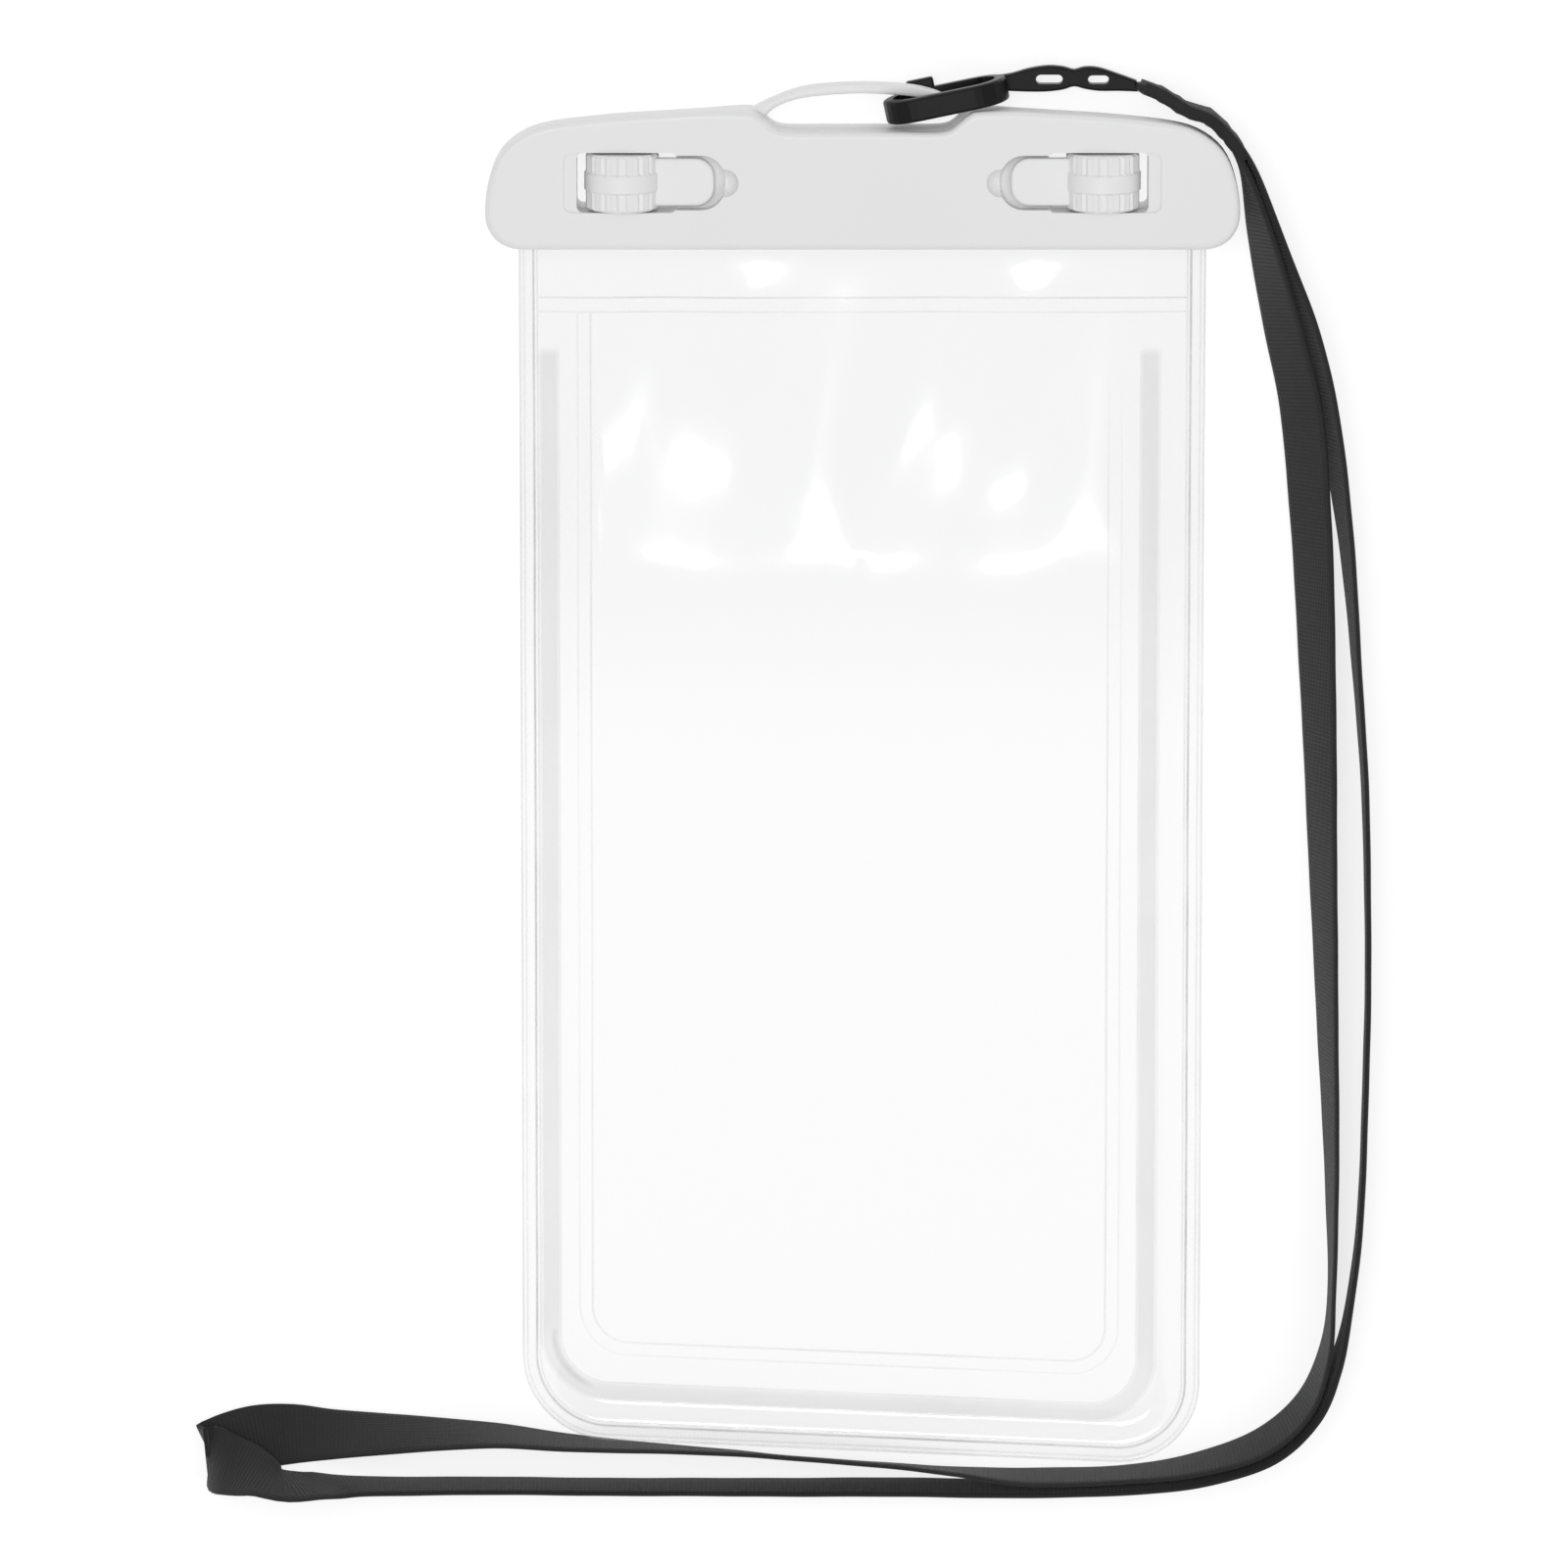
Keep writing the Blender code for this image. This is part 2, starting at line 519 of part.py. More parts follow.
def main():
    clear_scene()
    parts = collection("phone_pouch")
    cutters = collection("cutters")
    rail = material("rail_plastic", (0.80, 0.80, 0.81), 0.38)
    lock = material("lock_plastic", (0.82, 0.82, 0.83), 0.32)
    film = material("clear_film", (0.95, 0.96, 0.96), 0.06, 0.3, 0.6)
    hook = material("hook_plastic", (0.018, 0.018, 0.019), 0.38)
    webbing = material("webbing", (0.03, 0.03, 0.032), 0.8)
    make_rails(parts, cutters, rail)
    make_lock("left", -1, parts, cutters, lock)
    make_lock("right", 1, parts, cutters, lock)
    make_film("back_film", back_z, parts, film)
    make_film("front_film", front_z, parts, film)
    make_hook(parts, cutters, hook)
    make_strap(parts, webbing)


main()
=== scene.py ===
"""Looks of the transparent phone pouch: camera, lanyard tape, films, moulded rails, locks and hook, on a white surface."""

import math

import bmesh
import bpy
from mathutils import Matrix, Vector


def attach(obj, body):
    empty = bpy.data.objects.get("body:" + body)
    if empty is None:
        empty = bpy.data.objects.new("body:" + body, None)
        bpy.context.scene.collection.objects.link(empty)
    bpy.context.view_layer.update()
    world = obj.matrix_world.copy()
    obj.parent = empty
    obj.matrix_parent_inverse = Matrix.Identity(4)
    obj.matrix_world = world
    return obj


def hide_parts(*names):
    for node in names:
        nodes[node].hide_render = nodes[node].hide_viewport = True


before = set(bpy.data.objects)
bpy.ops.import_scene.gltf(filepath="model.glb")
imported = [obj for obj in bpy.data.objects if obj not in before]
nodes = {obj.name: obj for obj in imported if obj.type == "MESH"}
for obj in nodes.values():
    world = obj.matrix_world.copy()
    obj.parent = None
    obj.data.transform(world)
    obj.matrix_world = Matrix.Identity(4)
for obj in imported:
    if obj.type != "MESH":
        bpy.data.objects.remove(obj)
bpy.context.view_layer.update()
scene = bpy.context.scene

MM = 0.001

# ---------------------------------------------------------------- camera
TILT = math.radians(11.2)
AIM = Vector((-0.0119, -0.0009, 0.003))
cam_data = bpy.data.cameras.new("camera")
cam_data.sensor_width = 36.0
cam_data.lens = 360.0
cam_data.clip_start = 0.1
cam_data.clip_end = 20.0
camera = bpy.data.objects.new("camera", cam_data)
scene.collection.objects.link(camera)
camera.location = AIM + 2.4 * Vector((0.0, math.sin(TILT), math.cos(TILT)))
camera.rotation_euler = (-TILT, 0.0, 0.0)
scene.camera = camera

# ---------------------------------------------------------------- lanyard route, in metres
# x, y, height of the lower edge, direction of the loop's outside in degrees, lean in degrees, width
ROUTE = [
    (0.04230, 0.10645, 0.00100, 70, 86, 0.00460), (0.04520, 0.10535, 0.00060, 64, 86, 0.00640),
    (0.04880, 0.10325, 0.00030, 58, 86, 0.00860), (0.05300, 0.10155, 0.00000, 48, 87, 0.00980),
    (0.05775, 0.09500, 0.00000, 28, 84, 0.01000), (0.06060, 0.08420, 0.00000, 18, 68, 0.01000),
    (0.06380, 0.07090, 0.00000, 14, 56, 0.01000), (0.06690, 0.05730, 0.00000, 8, 51, 0.01000),
    (0.06830, 0.04210, 0.00000, 4, 53, 0.01000), (0.06930, 0.02390, 0.00000, 2, 57, 0.01000),
    (0.07020, -0.00050, 0.00000, 2, 64, 0.01000), (0.07100, -0.02500, 0.00000, 2, 71, 0.01000),
    (0.07190, -0.04960, 0.00000, 1, 78, 0.01000), (0.07240, -0.06810, 0.00000, 0, 84, 0.01000),
    (0.07240, -0.08050, 0.00000, -4, 88, 0.01000), (0.07150, -0.09000, 0.00000, -18, 84, 0.01000),
    (0.06830, -0.09820, 0.00000, -38, 78, 0.01000), (0.06190, -0.10400, 0.00000, -55, 77, 0.01000),
    (0.05220, -0.10740, 0.00000, -73, 83, 0.01000), (0.04090, -0.10910, 0.00000, -83, 89, 0.01000),
    (0.02590, -0.10950, 0.00000, -90, 89, 0.01000), (0.01400, -0.10860, 0.00000, -94, 98, 0.01000),
    (0.00320, -0.10760, 0.00000, -95, 102, 0.01000), (-0.01190, -0.10640, 0.00000, -94, 103, 0.01000),
    (-0.02000, -0.10570, 0.00000, -93, 101, 0.01000), (-0.03200, -0.10490, 0.00000, -92, 97, 0.01000),
    (-0.04470, -0.10410, 0.00000, -92, 90, 0.01000), (-0.05680, -0.10290, 0.00000, -91, 82, 0.01000),
    (-0.06880, -0.10270, 0.00000, -90, 70, 0.01000), (-0.08080, -0.10290, 0.00000, -88, 55, 0.01000),
    (-0.08720, -0.10300, 0.00000, -86, 38, 0.01000), (-0.09300, -0.10380, 0.00000, -83, 20, 0.01000),
    (-0.09700, -0.10500, 0.00000, -81, 13, 0.01000), (-0.09960, -0.10620, 0.00000, -80, 9, 0.01000),
    (-0.10090, -0.10680, 0.00080, -83, 10, 0.01000), (-0.09980, -0.10700, 0.00250, -84, 17, 0.01000),
    (-0.09690, -0.10740, 0.00380, -86, 43, 0.01000), (-0.09300, -0.10800, 0.00560, -85, 60, 0.01000),
    (-0.08900, -0.10930, 0.00630, -86, 75, 0.01000), (-0.08400, -0.11000, 0.00410, -87, 83, 0.01000),
    (-0.07640, -0.11080, 0.00070, -89, 88, 0.01000), (-0.05730, -0.11090, 0.00000, -90, 90, 0.01000),
    (-0.02700, -0.11110, 0.00000, -90, 90, 0.01000), (0.00320, -0.11110, 0.00000, -90, 89, 0.01000),
    (0.02590, -0.11130, 0.00000, -90, 89, 0.01000), (0.04110, -0.11080, 0.00000, -83, 88, 0.01000),
    (0.05270, -0.10900, 0.00000, -73, 82, 0.01000), (0.06290, -0.10530, 0.00000, -55, 76, 0.01000),
    (0.06940, -0.09930, 0.00000, -38, 77, 0.01000), (0.07300, -0.09200, 0.00000, -22, 84, 0.01000),
    (0.07490, -0.08400, 0.00000, -10, 89, 0.01000), (0.07660, -0.07000, 0.00000, -4, 90, 0.01000),
    (0.07740, -0.04800, 0.00000, -1, 90, 0.01000), (0.07760, -0.02500, 0.00000, 1, 90, 0.01000),
    (0.07690, -0.00050, 0.00000, 3, 88, 0.01000), (0.07530, 0.02080, 0.00000, 5, 85, 0.01000),
    (0.07360, 0.03910, 0.00000, 8, 79, 0.01000), (0.07100, 0.05580, 0.00000, 12, 72, 0.01000),
    (0.06780, 0.06940, 0.00000, 16, 70, 0.01000), (0.06270, 0.08260, 0.00000, 22, 69, 0.01000),
    (0.05880, 0.09555, 0.00000, 28, 84, 0.01000), (0.05385, 0.10240, 0.00000, 48, 87, 0.00980),
    (0.04945, 0.10425, 0.00030, 58, 86, 0.00860), (0.04560, 0.10645, 0.00060, 64, 86, 0.00640),
    (0.04265, 0.10760, 0.00100, 70, 86, 0.00460),
]
TAPE_W, TAPE_T = 0.010, 0.0008


def smooth(t):
    t = min(1.0, max(0.0, t))
    return t * t * (3 - 2 * t)


def catmull(rows, steps):
    out = []
    for i in range(len(rows) - 1):
        p0, p1, p2 = rows[max(i - 1, 0)], rows[i], rows[i + 1]
        p3 = rows[min(i + 2, len(rows) - 1)]
        for k in range(steps):
            t = k / steps
            out.append(
                tuple(
                    0.5 * (2 * b + (c - a) * t + (2 * a - 5 * b + 4 * c - d) * t * t + (3 * b - a - 3 * c + d) * t**3)
                    for a, b, c, d in zip(p0, p1, p2, p3)
                )
            )
    out.append(tuple(map(float, rows[-1])))
    return out


def tape_sections(step):
    """Centre, direction along, across, and width of the tape at even steps along its route."""
    fine = []
    for x, y, low, out, lean, width in catmull(ROUTE, 24):
        low, width = max(low, 0.0), min(width, TAPE_W)
        o, a = math.radians(out), math.radians(lean)
        across = Vector((math.cos(a) * math.cos(o), math.cos(a) * math.sin(o), math.sin(a)))
        fine.append((Vector((x, y, low)), across, width, low))
    total = sum((b[0] - a[0]).length for a, b in zip(fine, fine[1:]))
    count = round(total / step)
    out, gone, want = [], 0.0, 0.0
    for i in range(len(fine) - 1):
        a, b = fine[i], fine[i + 1]
        d = (b[0] - a[0]).length
        while len(out) < count and gone + d >= want - 1e-12:
            t = (want - gone) / d if d else 0
            out.append((a[0].lerp(b[0], t), a[1].lerp(b[1], t), a[2] + (b[2] - a[2]) * t, a[3] + (b[3] - a[3]) * t))
            want += total / count
        gone += d
    out.append(fine[-1])
    rows = []
    for i, (p, across, width, low) in enumerate(out):
        along = (out[min(i + 1, len(out) - 1)][0] - out[max(i - 1, 0)][0]).normalized()
        across = (across - along * across.dot(along)).normalized()
        normal = along.cross(across)
        reach = abs(across.z) * width / 2 + abs(normal.z) * TAPE_T / 2
        rows.append((Vector((p.x, p.y, low + 0.00005 + reach)), along, across, width))
    return rows


# ---------------------------------------------------------------- material helpers
def new_material(name):
    m = bpy.data.materials.new(name)
    m.use_nodes = True
    m.node_tree.nodes.clear()
    return m


class Nodes:
    """Short calls for building a node tree."""

    def __init__(self, m):
        self.t = m.node_tree

    def node(self, kind, **inputs):
        n = self.t.nodes.new(kind)
        for k, v in inputs.items():
            key = k.replace("_", " ") if k.replace("_", " ") in n.inputs else k
            self.put(n.inputs[key], v)
        return n

    def put(self, socket, v):
        if isinstance(v, bpy.types.NodeSocket):
            self.t.links.new(v, socket)
        elif isinstance(v, (tuple, list)) and socket.type == "RGBA" and len(v) == 3:
            socket.default_value = (*v, 1.0)
        else:
            socket.default_value = v

    def math(self, op, a, b=0.0, c=None, clamp=False):
        n = self.t.nodes.new("ShaderNodeMath")
        n.operation = op
        n.use_clamp = clamp
        self.put(n.inputs[0], a)
        self.put(n.inputs[1], b)
        if c is not None:
            self.put(n.inputs[2], c)
        return n.outputs[0]

    def ramp(self, v, lo, hi, out_lo=0.0, out_hi=1.0, kind="SMOOTHSTEP"):
        n = self.t.nodes.new("ShaderNodeMapRange")
        n.interpolation_type = kind
        n.clamp = True
        for k, x in enumerate((v, lo, hi, out_lo, out_hi)):
            self.put(n.inputs[k], x)
        return n.outputs[0]

    def noise(self, vector, scale, detail=3.0, rough=0.5):
        n = self.t.nodes.new("ShaderNodeTexNoise")
        self.put(n.inputs["Vector"], vector)
        n.inputs["Scale"].default_value = scale
        n.inputs["Detail"].default_value = detail
        n.inputs["Roughness"].default_value = rough
        return n.outputs["Fac"]

    def colour(self, f, a, b):
        n = self.t.nodes.new("ShaderNodeMix")
        n.data_type = "RGBA"
        self.put(n.inputs[0], f)
        self.put(n.inputs[6], a)
        self.put(n.inputs[7], b)
        return n.outputs[2]

    def bump(self, height, strength, distance, normal=None):
        n = self.t.nodes.new("ShaderNodeBump")
        self.put(n.inputs["Height"], height)
        n.inputs["Strength"].default_value = strength
        n.inputs["Distance"].default_value = distance
        if normal is not None:
            self.put(n.inputs["Normal"], normal)
        return n.outputs["Normal"]

    def object_coords(self):
        return self.t.nodes.new("ShaderNodeTexCoord").outputs["Object"]

    def xyz(self, v):
        n = self.t.nodes.new("ShaderNodeSeparateXYZ")
        self.put(n.inputs[0], v)
        return n.outputs[0], n.outputs[1], n.outputs[2]

    def attribute(self, name):
        n = self.t.nodes.new("ShaderNodeAttribute")
        n.attribute_name = name
        return n.outputs["Fac"]

    def scale(self, v, k):
        n = self.t.nodes.new("ShaderNodeVectorMath")
        n.operation = "MULTIPLY"
        self.put(n.inputs[0], v)
        n.inputs[1].default_value = k
        return n.outputs[0]

    def out(self, shader):
        n = self.t.nodes.new("ShaderNodeOutputMaterial")
        self.put(n.inputs["Surface"], shader)

    def principled(self, **inputs):
        return self.node("ShaderNodeBsdfPrincipled", **inputs).outputs[0]


# ---------------------------------------------------------------- tape
def tape_material():
    """Woven tape: fine cross ribs, a finer running thread, a plain selvedge along each edge, and painted shade in the
    troughs between the ribs.
    """
    m = new_material("tape_weave")
    n = Nodes(m)
    along, across = n.attribute("along"), n.attribute("across")
    co = n.object_coords()
    blotch = n.noise(co, 90.0, 4.0, 0.6)
    grain = n.noise(co, 2600.0, 2.0, 0.6)
    rib = n.math("SINE", n.math("MULTIPLY", along, 2 * math.pi / 0.00062))
    thread = n.math("SINE", n.math("MULTIPLY", across, 2 * math.pi / 0.00042))
    edge = n.ramp(n.math("ABSOLUTE", across), 0.0041, 0.0044)
    ribs = n.math("MULTIPLY", n.math("SUBTRACT", 1.0, edge), n.math("ADD", n.math("MULTIPLY", rib, 0.5), 0.5))
    threads = n.math("ADD", n.math("MULTIPLY", thread, 0.5), 0.5)
    height = n.math("ADD", n.math("MULTIPLY", ribs, 0.75), n.math("MULTIPLY", threads, 0.3))
    dark, light = (0.006, 0.006, 0.0063), (0.025, 0.025, 0.026)
    # lighter on the raised ribs and threads and darker in the troughs between them: painted shade; the blotch noise is
    # the tape's own uneven tone
    f = n.math("ADD", n.math("MULTIPLY", blotch, 0.75), n.math("MULTIPLY", height, 0.35))
    base = n.colour(n.math("MULTIPLY", f, 0.8, clamp=True), dark, light)
    base = n.colour(n.math("MULTIPLY", grain, 0.3), base, (0.046, 0.046, 0.047))
    normal = n.bump(height, 0.8, 0.00014)
    rough = n.ramp(grain, 0.2, 0.8, 0.72, 0.92, "LINEAR")
    n.out(
        n.principled(
            Base_Color=base, Roughness=rough, Normal=normal, Sheen_Weight=0.10, Sheen_Roughness=0.45, Specular_IOR_Level=0.3
        )
    )
    return m


rows = tape_sections(0.0010)
bm = bmesh.new()
l_along = bm.verts.layers.float.new("along")
l_across = bm.verts.layers.float.new("across")
SHAPE = [(-0.5, 0.22), (-0.47, 0.45), (-0.42, 0.5), (0.0, 0.5), (0.42, 0.5), (0.47, 0.45), (0.5, 0.22),
         (0.5, -0.22), (0.47, -0.45), (0.42, -0.5), (0.0, -0.5), (-0.42, -0.5), (-0.47, -0.45), (-0.5, -0.22)]  # fmt: skip
rings, path, gone = [], [], 0.0
for i, (p, along, across, width) in enumerate(rows):
    if i:
        gone += (p - rows[i - 1][0]).length
    normal = along.cross(across)
    # slight waviness of the long edges, as in a woven tape that has been folded before
    wave = 0.00010 * math.sin(gone * 210.0) + 0.00006 * math.sin(gone * 517.0 + 1.0)
    ring = []
    for u, v in SHAPE:
        q = p + across * (u * (width - 0.0001)) + normal * (v * TAPE_T * 0.94 + wave * 0.3 * (abs(u) * 2) ** 2)
        vert = bm.verts.new(q)
        vert[l_along] = gone
        vert[l_across] = u * width
        ring.append(vert)
    rings.append(ring)
    path.append(tuple(p))
for a, b in zip(rings, rings[1:]):
    for k in range(len(SHAPE)):
        j = (k + 1) % len(SHAPE)
        bm.faces.new((a[k], a[j], b[j], b[k]))
bm.faces.new(rings[0])
bm.faces.new(list(reversed(rings[-1])))
# the two ends are sewn together: a thick wrapped stretch beside the hook's tail, its thickness rippling slightly along
# it
sewn, span = [], 19


def wrapped(mid, across, normal, high, half, at):
    ring = []
    for k in range(16):
        t = 2 * math.pi * k / 16
        u, v = math.copysign(abs(math.cos(t)) ** 0.45, math.cos(t)), math.copysign(abs(math.sin(t)) ** 0.45, math.sin(t))
        q = mid + across * (u * high) + normal * (v * half)
        q.z = max(q.z, 0.00005)
        vert = bm.verts.new(q)
        vert[l_along] = at
        vert[l_across] = u * high
        ring.append(vert)
    return ring


for i in range(span + 1):
    a, b = rows[i], rows[-1 - i]
    mid, along = (a[0] + b[0]) / 2, a[1]
    across = (a[2] + b[2]).normalized()
    normal = along.cross(across).normalized()
    half = abs((a[0] - b[0]).dot(normal)) / 2 + TAPE_T / 2 + 0.00012 + 0.00010 * math.sin(i * 2.4)
    taper = 0.55 + 0.45 * smooth(i / 2.5) if i < 3 else 1.0 - 0.25 * smooth((i - span + 2) / 2)
    high = (a[3] + b[3]) / 4 + 0.00010
    if i == 0:
        # a short neck carries the stretch into the end of the hook's tail
        sewn.append(wrapped(Vector((0.0412, 0.10705, 0.0026)), across, normal, 0.0006, 0.0006, -0.001))
    sewn.append(wrapped(mid, across, normal, high * (0.96 if i in (0, span) else 1.0), half * taper, i * 0.001))
for a, b in zip(sewn, sewn[1:]):
    for k in range(16):
        j = (k + 1) % 16
        bm.faces.new((a[k], a[j], b[j], b[k]))
bm.faces.new(sewn[0])
bm.faces.new(list(reversed(sewn[-1])))
bmesh.ops.recalc_face_normals(bm, faces=bm.faces)
mesh = bpy.data.meshes.new("tape")
bm.to_mesh(mesh)
bm.free()
mesh.shade_smooth()
mesh.set_sharp_from_angle(angle=math.radians(50))
tape = bpy.data.objects.new("lanyard_tape", mesh)
scene.collection.objects.link(tape)
mesh.materials.append(tape_material())
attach(tape, "pouch")
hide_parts("lanyard_strap")

# ---------------------------------------------------------------- films
FILM = 0.5
HALF_W, BOTTOM, MOUTH, CORNER, SKEW, SEAM = 52.2, -105.9, 86.9, 13.0, 0.045, 2.6
RIM_Z, CLAMP_Z, PUFF = 1.6, 5.55, 5.0


def bag_depth(x, y):
    cx, cy = abs(x) - (HALF_W - CORNER), BOTTOM + CORNER - y
    if cx > 0 and cy > 0:
        return CORNER - math.hypot(cx, cy)
    return min(HALF_W - abs(x), y - BOTTOM)


def rim_z(y):
    return RIM_Z + (CLAMP_Z - RIM_Z) * smooth((y - 38) / 46)


def back_z(x, y):
    floor = CLAMP_Z * smooth((y - 45) / 37)
    return rim_z(y) + (floor - rim_z(y)) * smooth((bag_depth(x, y) - SEAM) / 3.0)


def front_z(x, y):
    puff = PUFF * (1 - smooth((y - 30) / 53))
    # shallow creases that fan out from the clamp
    k = smooth((y - 20) / 40) * (1 - smooth((y - 74) / 8)) * smooth((bag_depth(x, y) - 6) / 12)
    crease = 0.26 * math.sin(x * 0.15 + y * 0.03 + 0.9) + 0.16 * math.sin(x * 0.29 - y * 0.10 + 2.2)
    sag = 0.16 * math.sin(x * 0.07 + y * 0.045 + 1.1) * smooth((bag_depth(x, y) - 8) / 12) * (1 - smooth((y - 30) / 50))
    return rim_z(y) + FILM + 0.35 + (puff) * smooth((bag_depth(x, y) - SEAM) / 9.0) + crease * k + sag


def bag_ring(inset, cuts):
    x1, y0, y1 = HALF_W - inset, BOTTOM + inset, MOUTH - inset
    r = max(CORNER - inset, min(1.2, x1 * 0.5))
    t = min(0.6, x1 * 0.4)
    out = []
    corners = (
        (x1 - r, y0 + r, r, -90),
        (x1 - t, y1 - t, t, 0),
        (-x1 + t, y1 - t, t, 90),
        (-x1 + r, y0 + r, r, 180),
    )
    for cx, cy, rr, start in corners:
        for k in range(10):
            a = math.radians(start + 90 * k / 9)
            out.append((cx + rr * math.cos(a), cy + rr * math.sin(a)))
    full = []
    for c in range(4):
        full += out[c * 10 : c * 10 + 10]
        a, b = out[c * 10 + 9], out[((c + 1) % 4) * 10]
        full += [(a[0] + (b[0] - a[0]) * k / cuts[c], a[1] + (b[1] - a[1]) * k / cuts[c]) for k in range(1, cuts[c])]
    return full


def film_object(name, height, mat):
    bm = bmesh.new()
    insets = [0.0, 0.25, 0.7, 1.3, 2.0, 2.6, 3.1, 3.6, 4.1, 4.6, 5.2, 5.9, 6.8, 8.0, 9.5, 11.2, 13.0, 15.5, 18.5,
              22.0, 26.0, 30.0, 34.5, 39.0, 43.5, 47.5, 50.5, 51.9]  # fmt: skip
    rings = []
    for inset in insets:
        ring = []
        for x, y in bag_ring(inset, (48, 28, 48, 28)):
            t = smooth((40 - y) / 145)
            ring.append(bm.verts.new((x * MM, (y - SKEW * x * t) * MM, height(x, y) * MM)))
        rings.append(ring)
    n = len(rings[0])
    for a, b in zip(rings, rings[1:]):
        for k in range(n):
            bm.faces.new((a[k], a[(k + 1) % n], b[(k + 1) % n], b[k]))
    bm.faces.new(rings[-1])
    bmesh.ops.recalc_face_normals(bm, faces=bm.faces)
    if sum(f.normal.z for f in bm.faces) < 0:
        bmesh.ops.reverse_faces(bm, faces=bm.faces)
    mesh = bpy.data.meshes.new(name)
    bm.to_mesh(mesh)
    bm.free()
    mesh.shade_smooth()
    o = bpy.data.objects.new(name, mesh)
    scene.collection.objects.link(o)
    mesh.materials.append(mat)
    s = o.modifiers.new("thickness", "SOLIDIFY")
    s.thickness = FILM * MM * 0.8
    s.offset = 1.0
    return o


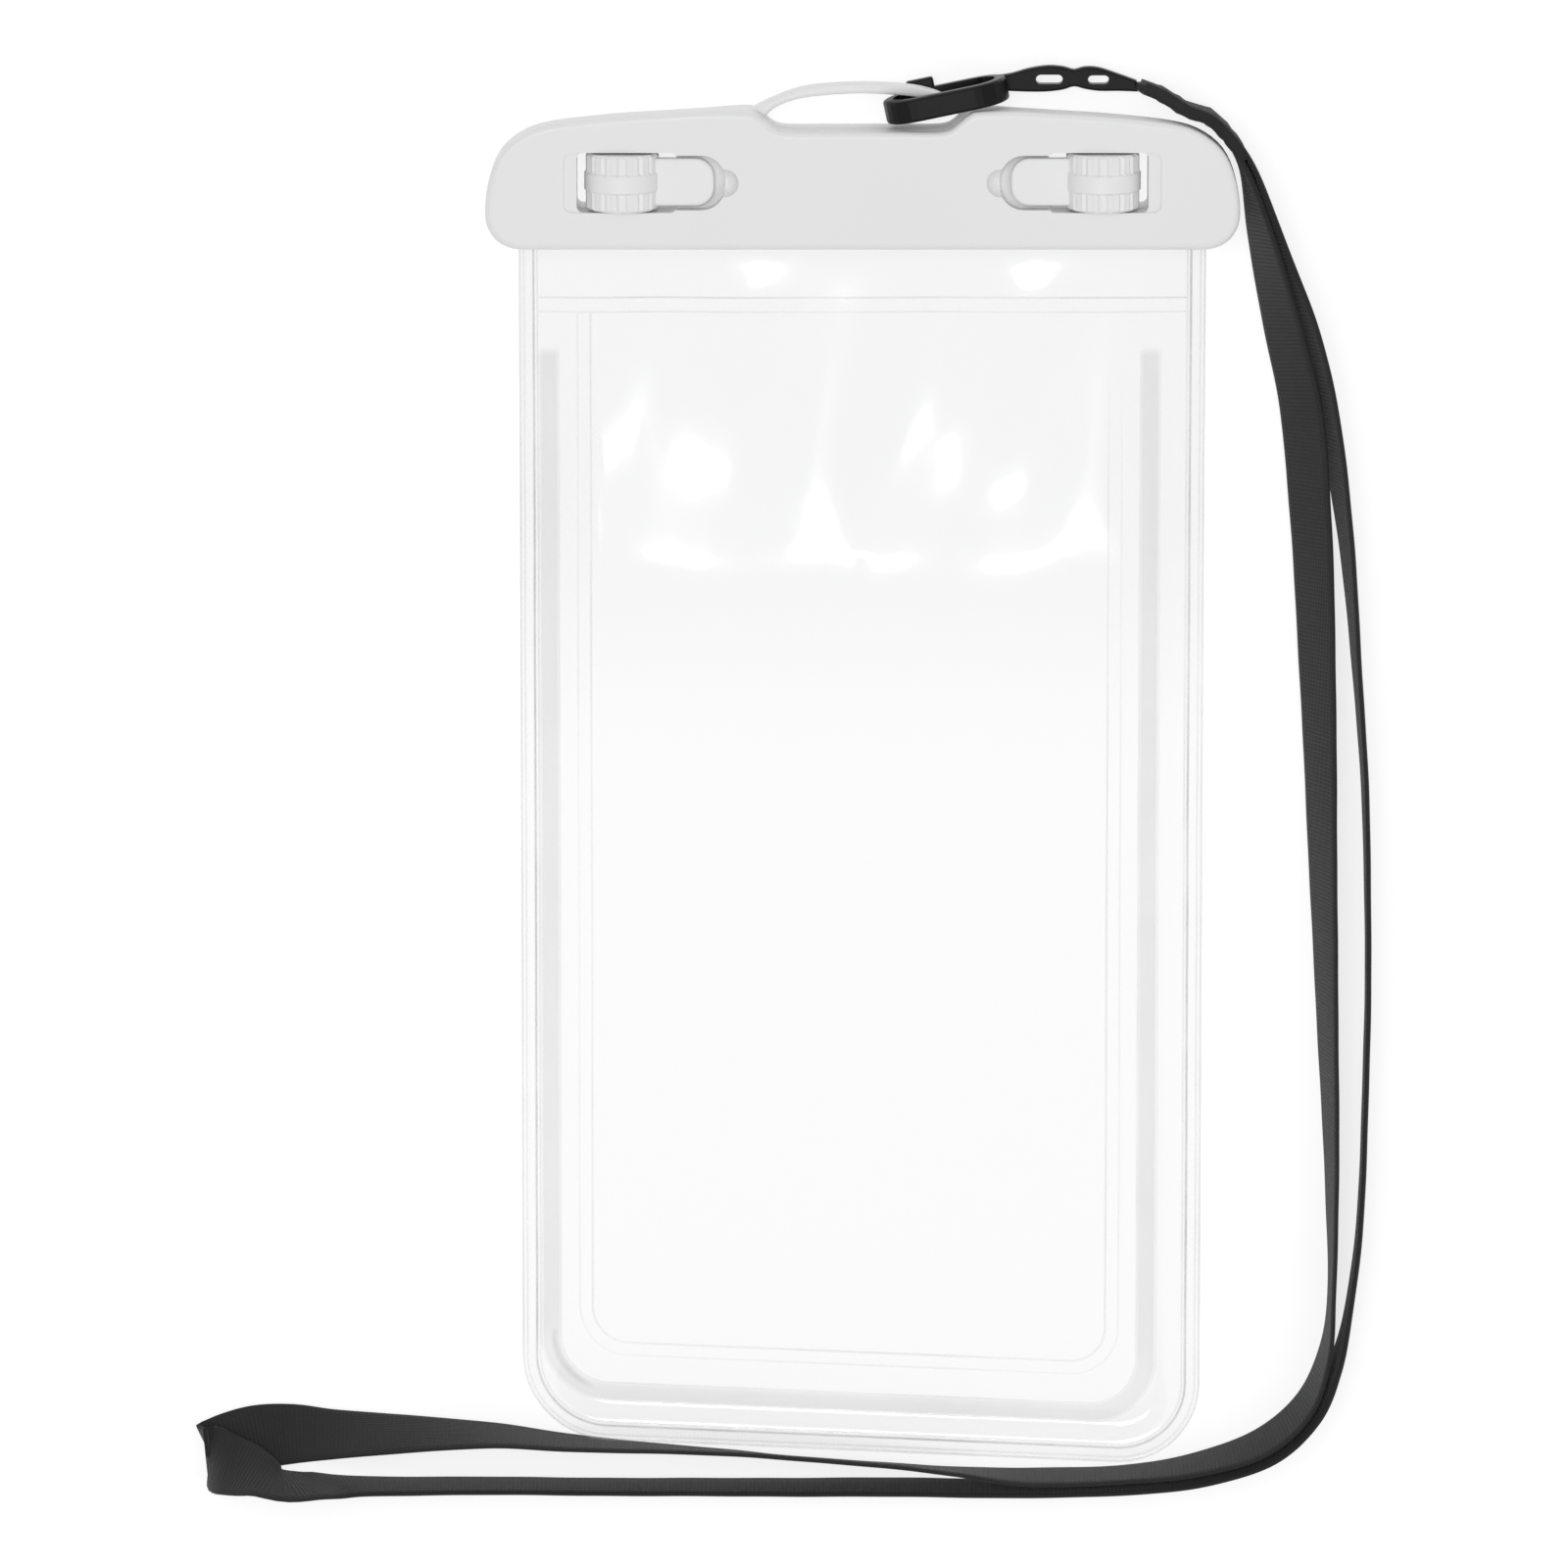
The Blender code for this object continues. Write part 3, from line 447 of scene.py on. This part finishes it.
def film_material(name, front):
    """Clear film: nearly invisible, with welded lines, painted shade on the folded wall along the sides and bottom and
    in its bottom corners, painted shade towards the clamp, and a gloss.
    """
    m = new_material(name)
    n = Nodes(m)
    co = n.object_coords()
    x, y, z = n.xyz(co)
    wob = n.math("MULTIPLY", n.math("SUBTRACT", n.noise(co, 30.0, 1.0, 0.5), 0.5), 0.0002)
    fade = n.noise(co, 38.0, 3.0, 0.6)
    # undo the slant of the bottom seam
    skew = n.math("MULTIPLY", n.math("MULTIPLY", x, SKEW), n.ramp(y, 0.040, -0.105))
    ys = n.math("ADD", y, skew)

    def rounded_box(x0, x1, y0, y1, r, shift=0.0):
        """Distance inwards from a rounded rectangle, positive inside."""
        cx, cy, hx, hy = (x0 + x1) / 2, (y0 + y1) / 2, (x1 - x0) / 2, (y1 - y0) / 2
        px = n.math("SUBTRACT", n.math("ABSOLUTE", n.math("SUBTRACT", n.math("ADD", x, wob), cx)), hx - r)
        py = n.math("SUBTRACT", n.math("ABSOLUTE", n.math("SUBTRACT", ys, cy)), hy - r)
        ox, oy = n.math("MAXIMUM", px, 0.0), n.math("MAXIMUM", py, 0.0)
        outside = n.math("SQRT", n.math("ADD", n.math("MULTIPLY", ox, ox), n.math("MULTIPLY", oy, oy)))
        inside = n.math("MINIMUM", n.math("MAXIMUM", px, py), 0.0)
        return n.math("SUBTRACT", r, n.math("ADD", outside, inside))

    def line(d, at, width, strength):
        off = n.math("ABSOLUTE", n.math("SUBTRACT", d, at))
        return n.math("MULTIPLY", n.ramp(off, 0.0, width, 1.0, 0.0), strength)

    def most(*values):
        out = values[0]
        for v in values[1:]:
            out = n.math("MAXIMUM", out, v)
        return out

    outer = rounded_box(-0.0522, 0.0522, -0.1059, 0.110, 0.013)
    vary = n.ramp(fade, 0.3, 0.7, 0.45, 1.0)
    if front:
        rim = most(
            line(outer, 0.00015, 0.00032, 0.20),
            line(outer, 0.00080, 0.00026, 0.16),
            line(outer, 0.00225, 0.00030, 0.50),
            line(outer, 0.00280, 0.00026, 0.16),
        )
        inner = rounded_box(-0.0433, 0.0395, -0.0911, 0.0800, 0.0075)
        weld = most(line(inner, 0.0, 0.00028, 0.09), line(inner, 0.0020, 0.00028, 0.16))
        left = n.math("MULTIPLY", n.ramp(x, 0.0, -0.010), n.ramp(y, 0.0732, 0.0728))
        below = most(left, n.ramp(y, 0.0660, 0.0350))
        weld = n.math("MULTIPLY", weld, below)
        across = most(line(y, 0.0751, 0.00024, 0.22), line(y, 0.0729, 0.00024, 0.14))
        across = n.math("MULTIPLY", across, n.ramp(outer, 0.0026, 0.0030))
        mask = n.math("MULTIPLY", most(rim, weld, across), vary)
    else:
        # the grey band on the folded wall along the sides and bottom is painted shade, set by the mask below
        wall = rounded_box(-0.0493, 0.0455, -0.1004, 0.110, 0.0105)
        band = n.math("MULTIPLY", n.ramp(wall, 0.0, 0.0005), n.ramp(wall, 0.0032, 0.0026))
        band = n.math("MULTIPLY", band, n.ramp(ys, -0.0935, -0.0860, 0.75, 1.0))
        top = n.ramp(y, 0.0675, 0.0655)
        painted_wall_shade = n.math("MULTIPLY", n.math("MULTIPLY", band, top), n.ramp(fade, 0.2, 0.8, 0.12, 0.17))
        edges = most(line(wall, 0.0001, 0.0003, 0.10), line(wall, 0.0030, 0.0003, 0.16))
        # darker crescents where the folded wall turns the bottom corners: painted shade
        painted_corner_shade = n.math(
            "MULTIPLY",
            n.math("MULTIPLY", line(wall, 0.0020, 0.0013, 0.22), n.ramp(ys, -0.0860, -0.0905)),
            n.ramp(x, -0.0440, -0.0385, 1.0, 0.15),
        )
        mask = most(painted_wall_shade, n.math("MULTIPLY", n.math("MULTIPLY", edges, top), vary), painted_corner_shade)
    # a little greyer and milkier towards the clamp: painted shade
    painted_top_shade = n.ramp(y, 0.000, 0.045)
    clear = n.node("ShaderNodeBsdfTransparent", Color=n.colour(painted_top_shade, (0.997, 0.997, 0.997), (0.984, 0.984, 0.985))).outputs[0]
    # grey shader for the weld lines, also used for the painted shade on the folded wall and its corners
    weld_grey_and_painted_shade = n.node("ShaderNodeBsdfDiffuse", Color=(0.42, 0.42, 0.43), Roughness=0.0).outputs[0]
    milky = n.node("ShaderNodeBsdfDiffuse", Color=(0.88, 0.88, 0.89), Roughness=0.0).outputs[0]
    body = n.node("ShaderNodeMixShader", Fac=n.math("ADD", n.math("MULTIPLY", painted_top_shade, 0.026), 0.006))
    n.put(body.inputs[1], clear)
    n.put(body.inputs[2], milky)
    lined = n.node("ShaderNodeMixShader", Fac=mask)
    n.put(lined.inputs[1], body.outputs[0])
    n.put(lined.inputs[2], weld_grey_and_painted_shade)
    gloss = n.node("ShaderNodeBsdfGlossy", Color=(1.0, 1.0, 1.0))
    gloss.inputs["Roughness"].default_value = 0.10
    facing = n.t.nodes.new("ShaderNodeLayerWeight")
    facing.inputs["Blend"].default_value = 0.5
    schlick = n.math("ADD", n.math("MULTIPLY", n.math("POWER", facing.outputs["Facing"], 5.0), 0.90), 0.035)
    shiny = n.node("ShaderNodeMixShader", Fac=schlick)
    n.put(shiny.inputs[1], lined.outputs[0])
    n.put(shiny.inputs[2], gloss.outputs[0])
    n.out(shiny.outputs[0])
    return m


back = film_object("clear_back", back_z, film_material("film_back", False))
front = film_object("clear_front", front_z, film_material("film_front", True))
for o, node in ((back, "back_film"), (front, "front_film")):
    o.visible_shadow = False
    o.visible_diffuse = False
    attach(o, "pouch")
    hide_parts(node)


# ---------------------------------------------------------------- moulded plastic
def moulded(name, base, rough, grain_scale, grain_depth, dark=0.90, shine=0.45):
    """Satin moulded plastic: faint cloudiness in tone and gloss, fine grain in surface and gloss."""
    m = new_material(name)
    n = Nodes(m)
    co = n.object_coords()
    cloud = n.noise(co, 45.0, 4.0, 0.55)
    fine = n.noise(co, grain_scale, 2.0, 0.6)
    a = tuple(c * dark for c in base)
    colour = n.colour(n.ramp(cloud, 0.35, 0.65), a, base)
    roughness = n.math("ADD", n.ramp(cloud, 0.3, 0.7, rough - 0.06, rough + 0.06, "LINEAR"), n.math("MULTIPLY", fine, 0.08))
    normal = n.bump(fine, 0.3, grain_depth)
    n.out(n.principled(Base_Color=colour, Roughness=roughness, Normal=normal, Specular_IOR_Level=shine))
    return m


def paint(node, mat):
    o = nodes[node]
    for s in o.material_slots:
        s.material = mat
    if not o.material_slots:
        o.data.materials.append(mat)


rail_mat = moulded("rail_moulding", (0.795, 0.795, 0.797), 0.40, 1500.0, 0.00003, 0.985)
lock_mat = moulded("lock_moulding", (0.82, 0.82, 0.822), 0.34, 1500.0, 0.00003, 0.985)
hook_mat = moulded("hook_moulding", (0.006, 0.006, 0.0062), 0.30, 2200.0, 0.00003, 0.75, 0.22)
paint("back_rail", rail_mat)
paint("front_rail", rail_mat)
paint("left_lock", lock_mat)
paint("right_lock", lock_mat)
paint("snap_hook", hook_mat)

# ---------------------------------------------------------------- surface and light
bm = bmesh.new()
bmesh.ops.create_grid(bm, x_segments=1, y_segments=1, size=1.6)
mesh = bpy.data.meshes.new("surface")
bm.to_mesh(mesh)
bm.free()
floor = bpy.data.objects.new("surface", mesh)
scene.collection.objects.link(floor)
floor.location = (0.0, 0.0, -0.0002)
m = new_material("white_surface")
n = Nodes(m)
d = n.node("ShaderNodeBsdfDiffuse", Color=(0.32, 0.32, 0.32)).outputs[0]
e = n.node("ShaderNodeEmission", Color=(1.0, 1.0, 1.0), Strength=0.75).outputs[0]
mix = n.node("ShaderNodeAddShader")
n.put(mix.inputs[0], d)
n.put(mix.inputs[1], e)
n.out(mix.outputs[0])
mesh.materials.append(m)

world = bpy.data.worlds.new("studio")
scene.world = world
world.use_nodes = True
world.node_tree.nodes["Background"].inputs["Color"].default_value = (1.0, 1.0, 1.0, 1.0)
world.node_tree.nodes["Background"].inputs["Strength"].default_value = 0.55


def area(name, place, aim, size, power):
    d = bpy.data.lights.new(name, "AREA")
    d.shape = "RECTANGLE"
    d.size, d.size_y = size
    d.energy = power
    o = bpy.data.objects.new(name, d)
    scene.collection.objects.link(o)
    o.location = place
    o.rotation_euler = (Vector(aim) - Vector(place)).to_track_quat("-Z", "Y").to_euler()
    return o


area("key", (-0.25, 0.45, 2.0), (0, 0, 0), (0.8, 0.8), 13.0)
fill = area("fill", (0.9, -0.5, 1.7), (0, 0, 0), (0.9, 0.9), 5.0)
fill.visible_glossy = False
# narrow overhead strip that the creased film mirrors as a few pale marks
area("strip", (0.02, -0.13, 2.0), (0, 0, 0), (0.12, 0.032), 0.16)

scene.view_settings.view_transform = "Standard"
scene.view_settings.look = "None"
scene.view_settings.exposure = 0.0
scene.view_settings.gamma = 1.0
scene.cycles.max_bounces = 8
scene.cycles.diffuse_bounces = 3
scene.cycles.glossy_bounces = 3
scene.cycles.transparent_max_bounces = 24
